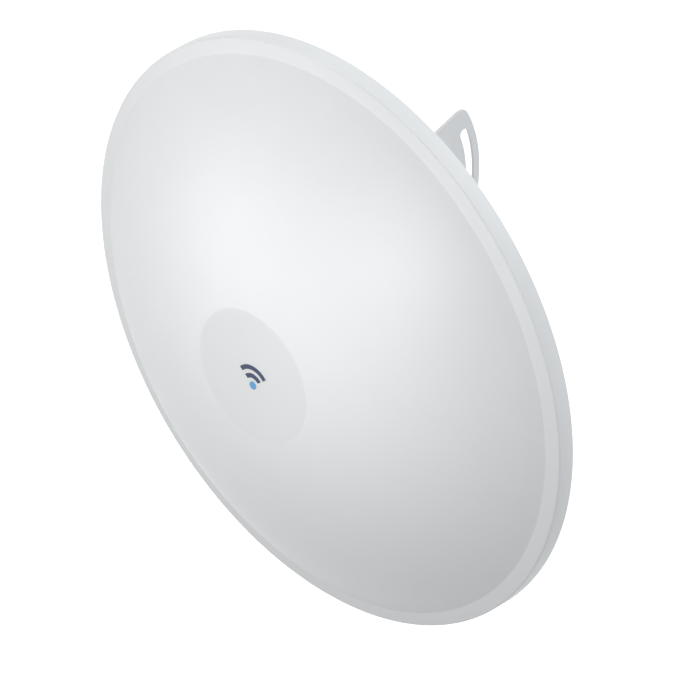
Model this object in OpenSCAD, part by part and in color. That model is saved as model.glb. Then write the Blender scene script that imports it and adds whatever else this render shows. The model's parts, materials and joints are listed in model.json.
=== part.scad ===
// Outdoor wireless bridge: a point-to-point radio dish with a domed radome, its feed and
// electronics, and the pole bracket it tilts on.
// The origin is on the pole's axis, halfway up the clamp. +Z is up along the pole, the dish
// looks along -Y, and +X is to the right of a person who stands behind the dish's front.

/* [Radome] */
// Outside diameter of the radome and of the whole dish
dish_d = 520; // [420:5:640]
// Height of the dome's flat centre in front of the rim
radome_rise = 86; // [66:1:110]
// Diameter of the flat disc in the middle of the dome
flat_d = 120; // [80:1:160]
// Width of the bevelled band around the dome
rim_w = 13; // [8:0.5:20]
// How far the band rises from its outer edge to the dome
band_rise = 3; // [1.5:0.5:6]
// Depth of the cylindrical skirt behind the rim
skirt_depth = 16; // [14.5:0.5:24]
// Wall of the radome moulding
radome_wall = 3; // [2:0.25:4]
// Number of screws that hold the radome on
radome_screw_count = 8; // [4:1:12]

/* [Reflector] */
// Depth of the reflector from its flange to its flat hub
reflector_depth = 81; // [60:1:100]
// Thickness of the spun reflector, measured along its axis
reflector_t = 2.4; // [1.5:0.1:3.5]
// Flat width of the hub outside its bolt circle
hub_margin = 8.4; // [8:0.2:14]
// Depth of the reflector's flange behind the rim
flange_drop = 10; // [9:0.5:11]
// Thickness of the gasket between radome and flange
rim_gasket_t = 2; // [1:0.25:3]

/* [Feed] */
// Outside radius of the feed tube
feed_tube_r = 17; // [15:0.5:19]
// Wall of the feed tube
feed_tube_wall = 2; // [1:0.25:3]
// Radius of the sub-reflector at the feed's tip
sub_r = 36; // [30:1:45]
// Space between the sub-reflector and the inside of the radome
feed_gap = 7; // [4:0.5:12]
// Length of the plastic cone between feed tube and sub-reflector
feed_cone_len = 26; // [18:1:36]

/* [Rear housing] */
// Outside radius of the electronics housing
housing_r = 45; // [44:1:56]
// Inside depth of the electronics housing
housing_depth = 20; // [18:1:30]
// Wall of the electronics housing
housing_wall = 2.5; // [2:0.25:3]
// Thickness of the rear cover without its fins
cover_t = 3; // [2.5:0.25:4]
// Height of the cooling fins on the rear cover
fin_h = 4; // [2:0.5:4]
// Travel of the reset button
button_travel = 0.8; // [0.4:0.1:0.9]

/* [Dish bracket] */
// Sheet thickness of the dish bracket
bracket_t = 2.5; // [2:0.25:3]
// Width of the base plate above and below its bolts
base_margin = 8; // [8:0.5:14]
// Distance from the dish axis to the inner face of the quadrant plate
quadrant_x = 80; // [78:1:96]
// Distance from the base plate's rear face back to the tilt pivot
pivot_setback = 32; // [30:1:38]
// Radius of the slot's centre line about the tilt pivot
slot_r = 118; // [106:1:134]
// Width of the quadrant plate outside the slot's centre line
slot_margin = 11; // [10:0.1:16]
// Angle of the slot's upper end above the level line
slot_top = 19.5; // [16:0.5:22]
// Angle of the slot's lower end below the level line
slot_low = 23.5; // [23.5:0.5:26]
// Angle of the lock bolt below the level line
lock_angle = 13; // [11:0.5:13]

/* [Pole clamp] */
// Diameter of the pole that the clamp is set for
pole_d = 50; // [42:1:60]
// Height of both clamp jaws
clamp_h = 40; // [33:1:48]
// Sheet thickness of the pole bracket and the jaw
clamp_t = 3; // [2.5:0.25:4]
// Distance from the tilt pivot back to the front of the pole
pivot_to_pole = 27; // [25:1:33]
// Height of the dish axis above the middle of the clamp
dish_z = 55; // [52:1:66]
// Gap between the rear jaw's end and the cheek beside it
cheek_gap = 2.5; // [1.5:0.5:6]
// Gap between the two jaws at the pole's sides
jaw_gap = 6; // [3:0.5:10]

/* [Bolts] */
// Diameter of the clamp, pivot and lock bolts
bolt_d = 8; // [6:0.5:10]
// Clearance around a bolt in the slot and in plain holes
bolt_clear = 0.5; // [0.3:0.05:0.8]
// Radial running clearance of the tilt pivot and the door hinge
pivot_clear = 0.05; // [0.02:0.01:0.1]

/* [Hidden] */
$fn = 96;

// Colours
white_plastic = "#eceeee";
white_paint = "#d4d6d6";
zinc = "silver";
black_rubber = "#26282a";

// Radome, in radius and distance behind the rim
dish_r = dish_d / 2;
flat_r = flat_d / 2;
dome_r = dish_r - rim_w;
dome_h = radome_rise - band_rise;
dome_c = (dome_r * dome_r - flat_r * flat_r - dome_h * dome_h) / (2 * dome_h);
dome_sphere_r = sqrt(dome_r * dome_r + dome_c * dome_c);
edge_chamfer = 1.2;
rim_gap = 1;
boss_r = 4.5;
radome_screw_r = 2;
screw_head_r = 4;
screw_head_h = 2.4;
radome_screw_len = 9.5;
thread_gap = 0.05;
seal_w = 6;
rib_w = 3;
flange_r = dish_r - radome_wall - rim_gap;
screw_circle_r = flange_r - boss_r - 1;
seal_r_out = screw_circle_r - boss_r - 0.5;
seal_r_in = seal_r_out - seal_w;
aperture_r = seal_r_in - 1.5;

// The generic mark on the flat disc: a dot with two bars curved over it
badge_t = 0.5;
badge_drop = 9;
badge_dot_r = 3.6;
badge_bar = 4;
badge_gap = 3.6;
badge_sweep = 50;

// The hub's bolts stand clear of the housing, and the hub and the base plate reach past them
hub_bolt = (housing_r + 11.57) / sqrt(2);
hub_bolt_r = 3;
hub_r = hub_bolt * sqrt(2) + hub_margin;
base_half_h = hub_bolt + base_margin;
focal = (aperture_r * aperture_r - hub_r * hub_r) / (4 * reflector_depth);

// Places behind the rim, along the dish axis
hub_front = flange_drop + reflector_depth;
hub_back = hub_front + reflector_t;
plate_back = hub_back + bracket_t;
pivot_y = plate_back + pivot_setback;
pole_setback = pivot_to_pole + pole_d / 2;
pole_y = pivot_y + pole_setback;

// Feed and its neck
feed_bore_r = feed_tube_r - feed_tube_wall;
feed_base_r = hub_bolt * sqrt(2) - 11.5;
feed_base_t = 4;
oring_r = 1.2;
oring_circle_r = 26;
sub_t = 6;
sub_face = -(radome_rise - radome_wall - feed_gap - sub_t);
feed_mouth = sub_face + feed_cone_len;
cone_plug_len = 12;
transition_r = feed_tube_r + 2.5;
neck_bore_r = transition_r + 0.5;
neck_r = housing_r - 14.5;
screw_hole_r = radome_screw_r + 0.25;

// Housing and what it holds
front_wall = 3;
cavity_y = plate_back + front_wall;
cavity_back = cavity_y + housing_depth;
cover_seal_t = 0.6;
cover_back = cavity_back + cover_t;
board_t = 1.6;
board_back = cavity_back - 2.8;
board_front = board_back - board_t;
board_r = housing_r - 4.5;
can_half_w = 22;
can_half_h = 17;
can_h = 2;
can_wall = 0.4;
housing_screw_len = feed_base_t + 12;
housing_screw_pos = polar_set(housing_r - 7, [30, 150, 210, 330]);
board_screw_pos = polar_set(housing_r - 9, [60, 120, 240, 300]);
cover_screw_pos = polar_set(housing_r - 5.5, [45, 135, 225, 315]);
small_screw_r = 1.5;
small_boss_r = 3.2;
small_head_r = 2.9;
small_head_h = 1.8;

// Jack, chin, reset button and door, about the dish axis
jack_w = 16;
jack_h = 13.4;
jack_len = 21;
jack_x = -4;
jack_fit = 0.4;
plug_w = 12;
plug_h = 7.2;
plug_len = 15;
chin_half_w = 17.5;
chin_drop = 3;
chin_z = -(housing_r + chin_drop);
chin_back = cavity_back - 1;
jack_front = chin_z + 4;
button_x = 11;
button_y = board_front - 3.5;
button_r = 2;
button_flange_r = 3;
button_floor = chin_z + 2.5;
door_t = 2;
door_gap = 0.4;
hinge_r = 3;
hinge_half_w = 9;
hinge_y = cavity_back + 0.7;
hinge_z = chin_z - door_gap - door_t / 2 - 0.2;
door_pin_r = 1.25;
led_x = [-8, 0, 8];
led_z = -33;
vent_z = 33;
vent_r = 3;
fin_step = 7;
fin_half_h = 23;

// Dish bracket
plate_left = -(quadrant_x + bracket_t);
plate_right = hub_bolt + 20;
bend_r = 2;
ground_x = plate_right - 8;
ground_z = -34;
quadrant_r = slot_r + slot_margin;
tick_t = 0.4;

// The quadrant's top edge slopes up towards the slot's end and keeps quadrant_line from the
// pivot. Its rounded corner is centred that line less its radius from the pivot.
quadrant_slope = 16.7;
quadrant_line = 30.9;
corner_r = 9;
corner_height = quadrant_line - corner_r;
corner_along = sqrt(pow(quadrant_r - corner_r, 2) - pow(corner_height, 2));
corner_centre = turn2([corner_along, corner_height], quadrant_slope);
corner_on_edge = turn2([corner_along, quadrant_line], quadrant_slope);
corner_on_arc = corner_centre * quadrant_r / (quadrant_r - corner_r);
slope_start = (base_half_h - quadrant_line / cos(quadrant_slope)) / tan(quadrant_slope);

// Bolts and pole clamp
bolt_r = bolt_d / 2;
hole_r = bolt_r + bolt_clear;
head_af = 1.625 * bolt_d;
nut_h = 0.8125 * bolt_d;
head_h = 0.6625 * bolt_d;
washer_r = bolt_d;
washer_t = 1.6;
face_gap = 0.1;
friction_t = 0.4;
pole_r = pole_d / 2;
clamp_bolt_x = pole_r + bolt_r + 4;
jaw_half_w = clamp_bolt_x + washer_r + 1;
web_y = pole_r + 3;
cheek_in = -(jaw_half_w + cheek_gap);
cheek_out = cheek_in - clamp_t;
dish_x = cheek_out - friction_t - face_gap + quadrant_x;
pivot_row = [-pole_setback, dish_z];
lock_row = pivot_row + slot_r * [cos(lock_angle), -sin(lock_angle)];
pivot_boss_r = washer_r + 8;
lock_boss_r = washer_r + 3.5;
carriage_head_r = bolt_r + 5.5;
clamp_bolt_end = web_y + clamp_t + washer_t + nut_h + 7;
washer_face = dish_x + plate_left - face_gap - washer_t;
nut_face = cheek_in + washer_t;
tilt_bolt_len = nut_face - washer_face + nut_h + 2.5;

function polar_set(r, angles) = [for (a = angles) r * [cos(a), sin(a)]];
function reflector_y(r) = hub_front - (r * r - hub_r * hub_r) / (4 * focal);
function turn2(p, a) = [p[0] * cos(a) - p[1] * sin(a), p[0] * sin(a) + p[1] * cos(a)];

// Frames and plain shapes
module at_rim() {
    translate([dish_x, -pole_y, dish_z]) children();
}

module turned() {
    at_rim() rotate([-90, 0, 0]) rotate_extrude() children();
}

module rod_x(r, x0, x1) {
    translate([x0, 0, 0]) rotate([0, 90, 0]) cylinder(r = r, h = x1 - x0);
}

module rod_y(r, y0, y1) {
    translate([0, y0, 0]) rotate([-90, 0, 0]) cylinder(r = r, h = y1 - y0);
}

module block(low, high) {
    translate(low) cube(high - low);
}

module at_each(points) {
    for (p = points) translate([p[0], 0, p[1]]) children();
}

// A hexagon across its flats, a height along +Z
module hexagon(across_flats, h) {
    cylinder(r = across_flats / sqrt(3), h = h, $fn = 6);
}

module nut(r, af, h) {
    difference() {
        intersection() {
            hexagon(af, h);
            cylinder(r1 = af / 2 + 0.35, r2 = af / 2 + 0.35 + h, h = h);
            cylinder(r1 = af / 2 + 0.35 + h, r2 = af / 2 + 0.35, h = h);
        }
        translate([0, 0, -1]) cylinder(r = r, h = h + 2);
    }
}

module washer(r_out, r_in, h) {
    difference() {
        cylinder(r = r_out, h = h);
        translate([0, 0, -1]) cylinder(r = r_in, h = h + 2);
    }
}

// A hexagon bolt: its head stands on -Z and its shank runs along +Z
module hex_bolt(r, af, head, length) {
    translate([0, 0, -head]) intersection() {
        hexagon(af, head);
        cylinder(r1 = af / 2 + 0.35, r2 = af / 2 + 0.35 + head, h = head);
    }
    cylinder(r = r, h = length - 1);
    translate([0, 0, length - 1]) cylinder(r1 = r, r2 = r - 0.8, h = 1);
}

// A carriage bolt: a low domed head on -Z, a square neck and a round shank along +Z
module carriage_bolt(r, head_radius, head, neck, length) {
    ball_r = (head_radius * head_radius + head * head) / (2 * head);
    neck_half = r + thread_gap;
    intersection() {
        translate([0, 0, ball_r - head]) sphere(r = ball_r);
        translate([0, 0, -head]) cylinder(r = head_radius - 0.3, h = head);
    }
    translate([-neck_half, -neck_half, 0]) cube([2 * neck_half, 2 * neck_half, neck]);
    cylinder(r = r, h = length - 1);
    translate([0, 0, length - 1]) cylinder(r1 = r, r2 = r - 0.8, h = 1);
}

// A pan-head screw with a hexagon socket: head on -Z, shank along +Z
module pan_screw(r, head_radius, head, length) {
    difference() {
        union() {
            translate([0, 0, -head]) cylinder(r1 = head_radius - 0.6, r2 = head_radius, h = 0.6);
            translate([0, 0, 0.6 - head]) cylinder(r = head_radius, h = head - 0.6);
        }
        translate([0, 0, -head - 1]) hexagon(r * 1.3, 1 + head * 0.6);
    }
    cylinder(r = r, h = length);
}

// ---- Radome ----

// Half section of the solid dome, its outline moved inwards by inset
module radome_half(inset) {
    sphere_r = dome_sphere_r - inset;
    join_r = sqrt(sphere_r * sphere_r - pow(dome_c - inset, 2));
    out_r = dish_r - inset;
    chamfer = inset == 0 ? edge_chamfer : 0;
    intersection() {
        translate([0, dome_c - band_rise]) circle(r = sphere_r, $fn = 360);
        translate([0, inset - radome_rise]) square([dish_r, radome_rise - band_rise + 1]);
    }
    polygon([
        [0, inset - band_rise],
        [join_r, inset - band_rise],
        [out_r - chamfer, inset * 0.9 - chamfer * band_rise / rim_w],
        [out_r, inset * 0.9 + chamfer],
        [out_r, skirt_depth + inset],
        [0, skirt_depth + inset]
    ]);
}

module radome_fixings() {
    difference() {
        turned() translate([seal_r_in + (seal_w - rib_w) / 2, -radome_rise])
            square([rib_w, radome_rise + flange_drop - rim_gasket_t]);
        at_rim() rod_y(dish_r, -radome_rise - 1, -band_rise - 6);
    }
    at_rim() for (i = [0 : radome_screw_count - 1])
        rotate([0, i * 360 / radome_screw_count, 0]) translate([screw_circle_r, 0, 0])
            rod_y(boss_r, -band_rise - 6, flange_drop);
}

module radome_shell() {
    color(white_plastic) difference() {
        union() {
            difference() {
                turned() radome_half(0);
                turned() radome_half(radome_wall);
            }
            intersection() {
                turned() radome_half(0);
                radome_fixings();
            }
        }
        at_rim() for (i = [0 : radome_screw_count - 1])
            rotate([0, i * 360 / radome_screw_count, 0]) translate([screw_circle_r, 0, 0])
                rod_y(radome_screw_r + thread_gap, radome_wall - 1.5, flange_drop + 1);
        at_rim() rod_y(dish_r + 1, skirt_depth, skirt_depth + 10);
    }
}

// Lays a flat drawing on the front of the disc, its Y up
module on_disc() {
    at_rim() translate([0, -radome_rise, 0]) rotate([90, 0, 0])
        linear_extrude(badge_t) children();
}

module badge_sector(r_out) {
    reach = 2 * r_out;
    intersection() {
        circle(r = r_out);
        polygon([[0, 0], reach * [sin(-badge_sweep), cos(badge_sweep)], [0, 2 * reach],
                 reach * [sin(badge_sweep), cos(badge_sweep)]]);
    }
}

module badge_arc(n) {
    r_in = badge_dot_r + n * badge_gap + (n - 1) * badge_bar;
    difference() {
        badge_sector(r_in + badge_bar);
        circle(r = r_in);
    }
}

module badge_arcs() {
    color("#1f2f52") on_disc() translate([0, -badge_drop]) {
        badge_arc(1);
        badge_arc(2);
    }
}

module badge_dot() {
    color("#58a6d6") on_disc() translate([0, -badge_drop]) circle(r = badge_dot_r);
}

module rim_gasket() {
    color(black_rubber) turned() translate([seal_r_in, flange_drop - rim_gasket_t])
        square([seal_w, rim_gasket_t]);
}

module radome_screws() {
    color(zinc) at_rim() for (i = [0 : radome_screw_count - 1])
        rotate([0, i * 360 / radome_screw_count, 0])
            translate([screw_circle_r, flange_drop + reflector_t, 0]) rotate([90, 0, 0])
                pan_screw(radome_screw_r, screw_head_r, screw_head_h, radome_screw_len);
}

// ---- Reflector and feed ----

module dish_reflector() {
    steps = 24;
    radii = [for (i = [0 : steps]) hub_r + (aperture_r - hub_r) * i / steps];
    front = [for (r = radii) [r, reflector_y(r)]];
    back = [for (i = [steps : -1 : 0]) front[i] + [0, reflector_t]];
    color(white_paint) difference() {
        turned() polygon(concat([[neck_bore_r, hub_front]], front,
            [[flange_r, flange_drop], [flange_r, flange_drop + reflector_t]],
            back, [[neck_bore_r, hub_back]]));
        at_rim() {
            for (i = [0 : radome_screw_count - 1])
                rotate([0, i * 360 / radome_screw_count, 0]) translate([screw_circle_r, 0, 0])
                    rod_y(screw_hole_r, 0, 2 * flange_drop);
            at_each(housing_screw_pos) rod_y(screw_hole_r, hub_front - 1, hub_back + 1);
            hub_bolt_squares(hub_front - 1, hub_back + 1);
        }
    }
}

// Square holes for the four carriage bolts of the dish bracket
module hub_bolt_squares(y0, y1) {
    half = hub_bolt_r + 0.1;
    for (sx = [-1, 1], sz = [-1, 1]) translate([sx * hub_bolt, 0, sz * hub_bolt])
        block([-half, y0, -half], [half, y1, half]);
}

module feed_tube() {
    groove = oring_r + 0.5;
    color("#c9ccce") difference() {
        turned() polygon([
            [feed_bore_r, feed_mouth], [feed_tube_r, feed_mouth],
            [feed_tube_r, hub_front - feed_base_t - 8], [feed_tube_r + 6, hub_front - feed_base_t],
            [feed_base_r, hub_front - feed_base_t], [feed_base_r, hub_front],
            [oring_circle_r + groove, hub_front],
            [oring_circle_r + groove, hub_front - 2 * oring_r],
            [oring_circle_r - groove, hub_front - 2 * oring_r],
            [oring_circle_r - groove, hub_front],
            [feed_bore_r, hub_front]
        ]);
        at_rim() at_each(housing_screw_pos)
            rod_y(screw_hole_r, hub_front - 10, hub_front + 1);
    }
}

module feed_seal() {
    color(black_rubber) turned() translate([oring_circle_r, hub_front - oring_r])
        circle(r = oring_r, $fn = 32);
}

module feed_cone() {
    plug_r = feed_bore_r - 0.1;
    color("#f2f2ee") turned() polygon([
        [0, feed_mouth + cone_plug_len], [plug_r - 3, feed_mouth + cone_plug_len],
        [plug_r, feed_mouth + cone_plug_len - 5], [plug_r, feed_mouth],
        [feed_tube_r, feed_mouth], [feed_tube_r, feed_mouth - 3],
        [feed_tube_r + 3, feed_mouth - 9], [sub_r - 3, sub_face], [0, sub_face]
    ]);
}

module sub_reflector() {
    color("#c9ccce") difference() {
        turned() polygon([[0, sub_face], [sub_r, sub_face], [sub_r, sub_face - 2.5],
            [sub_r - 4, sub_face - sub_t], [0, sub_face - sub_t]]);
        at_rim() rod_y(screw_hole_r, sub_face - sub_t - 1, sub_face + 1);
    }
}

module sub_reflector_screw() {
    color(zinc) at_rim() translate([0, sub_face - sub_t, 0]) rotate([-90, 0, 0])
        pan_screw(radome_screw_r, screw_head_r, screw_head_h, sub_t - 0.2);
}

module waveguide_transition() {
    color("#b4b8ba") turned() polygon([
        [feed_bore_r, hub_front], [transition_r, hub_front], [transition_r, board_front],
        [0, board_front], [0, board_front - 3], [feed_bore_r, board_front - 3]
    ]);
}

// ---- Electronics ----

module housing_outer() {
    chamfer = 2;
    turned() polygon([
        [neck_bore_r, hub_back], [neck_r, hub_back], [neck_r, plate_back],
        [housing_r - chamfer, plate_back], [housing_r, plate_back + chamfer],
        [housing_r, cavity_back - cover_seal_t], [neck_bore_r, cavity_back - cover_seal_t]
    ]);
    at_rim() {
        block([-chin_half_w, plate_back + 0.5, chin_z], [chin_half_w, chin_back, -housing_r / 2]);
        for (side = [-1, 1]) {
            x0 = side > 0 ? hinge_half_w + door_gap : -chin_half_w + 0.5;
            x1 = side > 0 ? chin_half_w - 0.5 : -hinge_half_w - door_gap;
            translate([0, hinge_y, hinge_z]) rod_x(hinge_r, x0, x1);
            block([x0, chin_back - 2, hinge_z], [x1, hinge_y, chin_z + 1.4]);
        }
    }
}

module housing_bosses() {
    at_rim() {
        at_each(housing_screw_pos) rod_y(boss_r, plate_back + 1, cavity_y + 8);
        at_each(board_screw_pos) rod_y(small_boss_r, plate_back + 1, board_front);
        at_each(cover_screw_pos) rod_y(small_boss_r, plate_back + 1, cavity_back - cover_seal_t);
        rod_y(transition_r + 3, plate_back, cavity_y + 5);
    }
}

module housing_cuts() {
    at_rim() {
        rod_y(neck_bore_r, hub_back - 1, cavity_back);
        at_each(housing_screw_pos) rod_y(radome_screw_r + thread_gap, plate_back - 1, cavity_y + 7);
        at_each(board_screw_pos) rod_y(small_screw_r + thread_gap, board_front - 8, board_front + 1);
        at_each(cover_screw_pos)
            rod_y(small_screw_r + thread_gap, cavity_back - 14, cavity_back);
        jack_opening();
        button_pocket();
        translate([0, hinge_y, hinge_z]) rod_x(door_pin_r, -chin_half_w, chin_half_w);
        block([-hinge_half_w - door_gap, chin_back - 2, chin_z - 1],
              [hinge_half_w + door_gap, chin_back + 1, chin_z + 1.8]);
    }
}

module jack_opening() {
    half_w = jack_w / 2 + jack_fit;
    block([jack_x - half_w, board_front - jack_h - jack_fit, chin_z - 5],
          [jack_x + half_w, board_front + jack_fit, -housing_r / 2 - 4]);
}

module button_pocket() {
    block([button_x - 3.5, button_y - 3.5, button_floor],
          [button_x + 3.5, board_front + jack_fit, -housing_r + 10]);
    translate([button_x, button_y, chin_z - 1]) cylinder(r = button_r + 0.1, h = 6);
}

module rear_housing() {
    color(white_plastic) difference() {
        union() {
            difference() {
                housing_outer();
                at_rim() rod_y(housing_r - housing_wall, cavity_y, cavity_back + 1);
            }
            intersection() {
                housing_bosses();
                at_rim() rod_y(housing_r - housing_wall / 2, plate_back, cavity_back);
            }
        }
        housing_cuts();
    }
}

module housing_screws() {
    color(zinc) at_rim() at_each(housing_screw_pos)
        translate([0, hub_front - feed_base_t, 0]) rotate([-90, 0, 0])
            pan_screw(radome_screw_r, screw_head_r, screw_head_h, housing_screw_len);
}

module radio_board() {
    color("#1f6b45") at_rim() difference() {
        rod_y(board_r, board_front, board_back);
        at_each(board_screw_pos) rod_y(small_screw_r + 0.15, board_front - 1, board_back + 1);
        at_each(cover_screw_pos) rod_y(small_boss_r + 0.6, board_front - 1, board_back + 1);
    }
}

module board_screws() {
    color(zinc) at_rim() at_each(board_screw_pos)
        translate([0, board_back, 0]) rotate([90, 0, 0])
            pan_screw(small_screw_r, small_head_r, small_head_h, board_t + 6);
}

module shield_can() {
    color("#c4c8ca") at_rim() difference() {
        block([-can_half_w, board_back, -can_half_h],
              [can_half_w, board_back + can_h, can_half_h]);
        block([can_wall - can_half_w, board_back - 1, can_wall - can_half_h],
              [can_half_w - can_wall, board_back + can_h - can_wall, can_half_h - can_wall]);
    }
}

module thermal_pad() {
    color("#8fa3ad") at_rim()
        block([4 - can_half_w, board_back + can_h, 4 - can_half_h],
              [can_half_w - 4, cavity_back, can_half_h - 4]);
}

module ethernet_jack() {
    centre_y = board_front - jack_h / 2;
    color("#b9bdbf") at_rim() difference() {
        block([jack_x - jack_w / 2, board_front - jack_h, jack_front],
              [jack_x + jack_w / 2, board_front, jack_front + jack_len]);
        block([jack_x - plug_w / 2, centre_y - plug_h / 2, jack_front - 1],
              [jack_x + plug_w / 2, centre_y + plug_h / 2, jack_front + plug_len]);
        block([jack_x - 3.2, centre_y - plug_h / 2 - 1.6, jack_front - 1],
              [jack_x + 3.2, centre_y - plug_h / 2 + 0.1, jack_front + plug_len]);
    }
}

module reset_switch() {
    switch_z = button_floor + 1 + button_travel + 0.2;
    color("#33363a") at_rim()
        block([button_x - 3, button_y - 2.5, switch_z], [button_x + 3, board_front, switch_z + 6]);
}

module reset_button() {
    color("#3b4046") at_rim() translate([button_x, button_y, 0]) {
        translate([0, 0, chin_z + 0.6]) cylinder(r = button_r, h = button_floor - chin_z);
        translate([0, 0, button_floor]) cylinder(r = button_flange_r, h = 1);
    }
}

module led_light_pipes() {
    color("#dff2ff") at_rim() for (x = led_x) translate([x, 0, led_z])
        rod_y(small_screw_r, board_back, cover_back + 0.4);
}

module cover_seal() {
    color(black_rubber) turned()
        translate([housing_r - housing_wall + 0.1, cavity_back - cover_seal_t])
            square([housing_wall - 0.3, cover_seal_t]);
}

module rear_cover() {
    color(white_paint) at_rim() difference() {
        union() {
            rod_y(housing_r, cavity_back, cover_back - 1);
            translate([0, cover_back - 1, 0]) rotate([-90, 0, 0])
                cylinder(r1 = housing_r, r2 = housing_r - 1, h = 1);
            for (i = [-3 : 3])
                block([i * fin_step - 1, cover_back - 1, -fin_half_h],
                      [i * fin_step + 1, cover_back + fin_h, fin_half_h]);
        }
        at_each(cover_screw_pos) rod_y(small_screw_r + 0.15, cavity_back - 1, cover_back + 1);
        for (x = led_x) translate([x, 0, led_z])
            rod_y(small_screw_r + thread_gap, cavity_back - 1, cover_back + 1);
        translate([0, 0, vent_z]) rod_y(vent_r + thread_gap, cavity_back - 1, cover_back + 1);
    }
}

module cover_screws() {
    color(zinc) at_rim() at_each(cover_screw_pos)
        translate([0, cover_back, 0]) rotate([90, 0, 0])
            pan_screw(small_screw_r, small_head_r, small_head_h, cover_t + 9);
}

module vent_plug() {
    color("#2b2e31") at_rim() translate([0, 0, vent_z]) {
        rod_y(vent_r, cavity_back, cover_back);
        difference() {
            translate([0, cover_back, 0]) rotate([-90, 0, 0])
                cylinder(r1 = 2 * vent_r, r2 = 2 * vent_r - 1, h = 2.6);
            for (a = [0 : 60 : 300]) rotate([0, a, 0]) translate([2.8, 0, 0])
                rod_y(0.8, cover_back + 1.6, cover_back + 4);
        }
    }
}

module port_door() {
    door_top = chin_z - door_gap;
    door_front = plate_back + 1.6;
    door_rear = chin_back - 2.2;
    color(white_plastic) at_rim() difference() {
        union() {
            block([-chin_half_w + 0.5, door_front, door_top - door_t],
                  [chin_half_w - 0.5, door_rear, door_top]);
            block([-hinge_half_w, door_rear - 1, door_top - door_t], [hinge_half_w, hinge_y, door_top]);
            block([-7, door_front, door_top - door_t - 2], [7, door_front + 1.5, door_top]);
            translate([0, hinge_y, hinge_z]) rod_x(hinge_r, -hinge_half_w, hinge_half_w);
        }
        translate([0, hinge_y, hinge_z])
            rod_x(door_pin_r + pivot_clear, -hinge_half_w - 1, hinge_half_w + 1);
    }
}

module door_pin() {
    color(zinc) at_rim() translate([0, hinge_y, hinge_z])
        rod_x(door_pin_r, -chin_half_w + 0.5, chin_half_w - 0.5);
}

// ---- Dish bracket ----

// Quadrant plate outline: X back from the pivot, Y up
module quadrant_outline(root_x) {
    upper = [[root_x, base_half_h], [slope_start, base_half_h], corner_on_edge, corner_on_arc,
             2 * corner_on_arc];
    lower = [for (i = [4 : -1 : 0]) [upper[i][0], -upper[i][1]]];
    difference() {
        union() {
            intersection() {
                union() {
                    circle(r = quadrant_r, $fn = 180);
                    translate([root_x, -base_half_h]) square([-root_x, 2 * base_half_h]);
                }
                polygon(concat(upper, lower));
            }
            for (side = [-1, 1]) translate([corner_centre[0], side * corner_centre[1]])
                circle(r = corner_r);
        }
        slot_outline(hole_r);
        circle(r = bolt_r + pivot_clear);
    }
}

// Curved slot about the pivot
module slot_outline(half_w) {
    reach = 2 * quadrant_r;
    intersection() {
        difference() {
            circle(r = slot_r + half_w, $fn = 180);
            circle(r = slot_r - half_w, $fn = 180);
        }
        polygon([[0, 0], reach * [cos(slot_low), -sin(slot_low)], [2 * reach, 0],
                 reach * [cos(slot_top), sin(slot_top)]]);
    }
    for (a = [-slot_low, slot_top]) translate(slot_r * [cos(a), sin(a)]) circle(r = half_w);
}

// Puts a drawing of X back and Y up on a sheet that starts at x and is t thick
module side_sheet(x, t) {
    translate([x, 0, 0]) rotate([90, 0, 90]) linear_extrude(t) children();
}

module dish_bracket() {
    bend_out = bend_r + bracket_t;
    color(white_paint) difference() {
        union() {
            at_rim() {
                block([plate_left + bend_out, hub_back, -base_half_h],
                      [plate_right, plate_back, base_half_h]);
                translate([plate_left + bend_out, hub_back + bend_out, -base_half_h])
                    rotate([0, 0, 180]) rotate_extrude(angle = 90)
                        translate([bend_r, 0]) square([bracket_t, 2 * base_half_h]);
            }
            translate([0, -pole_setback, dish_z]) side_sheet(dish_x + plate_left, bracket_t)
                quadrant_outline(hub_back + bend_out - pivot_y);
        }
        at_rim() {
            rod_y(neck_r + 0.5, hub_back - 1, plate_back + 1);
            hub_bolt_squares(hub_back - 1, plate_back + 1);
            at_each(housing_screw_pos) rod_y(screw_hole_r, hub_back - 1, plate_back + 1);
            at_each([[ground_x, ground_z]]) rod_y(screw_hole_r, hub_back - 1, plate_back + 1);
        }
        // Angle marks every five degrees along the slot, on the outer face
        translate([dish_x + plate_left, -pole_setback, dish_z])
            for (a = [-20 : 5 : 20]) rotate([a, 0, 0])
                block([-1, slot_r - 15, -0.35], [tick_t, slot_r - (a % 10 == 0 ? 7 : 10), 0.35]);
    }
}

module ground_screw() {
    color("#c9a24a") at_rim() translate([ground_x, plate_back, ground_z]) rotate([90, 0, 0]) {
        translate([0, 0, -1]) washer(5.5, radome_screw_r + thread_gap, 1);
        translate([0, 0, -1]) pan_screw(radome_screw_r, screw_head_r, screw_head_h, bracket_t + 1);
    }
}

module bracket_bolts() {
    color(zinc) at_rim() for (sx = [-1, 1], sz = [-1, 1])
        translate([sx * hub_bolt, hub_front, sz * hub_bolt]) rotate([-90, 0, 0])
            carriage_bolt(hub_bolt_r, 7, 2.6, 4, 14);
}

module bracket_nuts() {
    color(zinc) at_rim() for (sx = [-1, 1], sz = [-1, 1])
        translate([sx * hub_bolt, plate_back, sz * hub_bolt]) rotate([-90, 0, 0]) {
            washer(6.5, hub_bolt_r + thread_gap, 1);
            translate([0, 0, 1]) nut(hub_bolt_r + thread_gap, 10, 5);
        }
}

// ---- Tilt joint ----

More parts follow.
